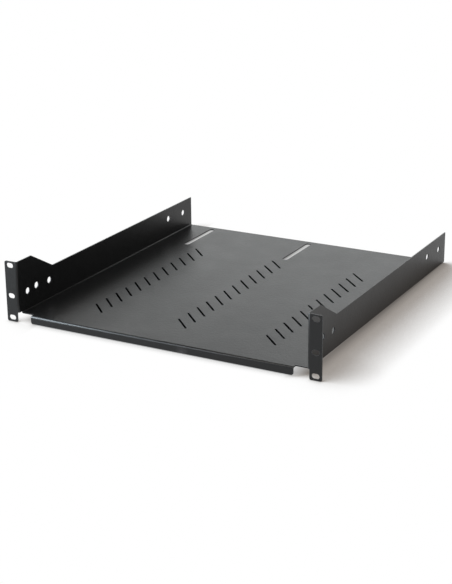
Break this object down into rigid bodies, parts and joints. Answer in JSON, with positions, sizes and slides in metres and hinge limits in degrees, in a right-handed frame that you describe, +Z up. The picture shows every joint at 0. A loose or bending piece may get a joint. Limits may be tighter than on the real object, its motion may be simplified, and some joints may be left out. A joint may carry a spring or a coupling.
{
  "type": "four post rack shelf",
  "caption": "Vented shelf for a 19 inch rack, two units high, folded from one steel sheet with tall front ears, side walls and a front lip.",
  "frame": {"origin": "the middle of the ears' back faces, at the centre of the four outer ear slots, in the plane that lies on the rack's front posts", "axes": "+X across the rack to the right as seen from the front, +Y to the rear, +Z up"},
  "size_m": [0.4826, 0.484, 0.0882],
  "materials": {
    "powder_coat": "satin black powder coat with a fine grain"
  },
  "bodies": {
    "root": {"shelf": "powder_coat"}
  },
  "joints": []
}
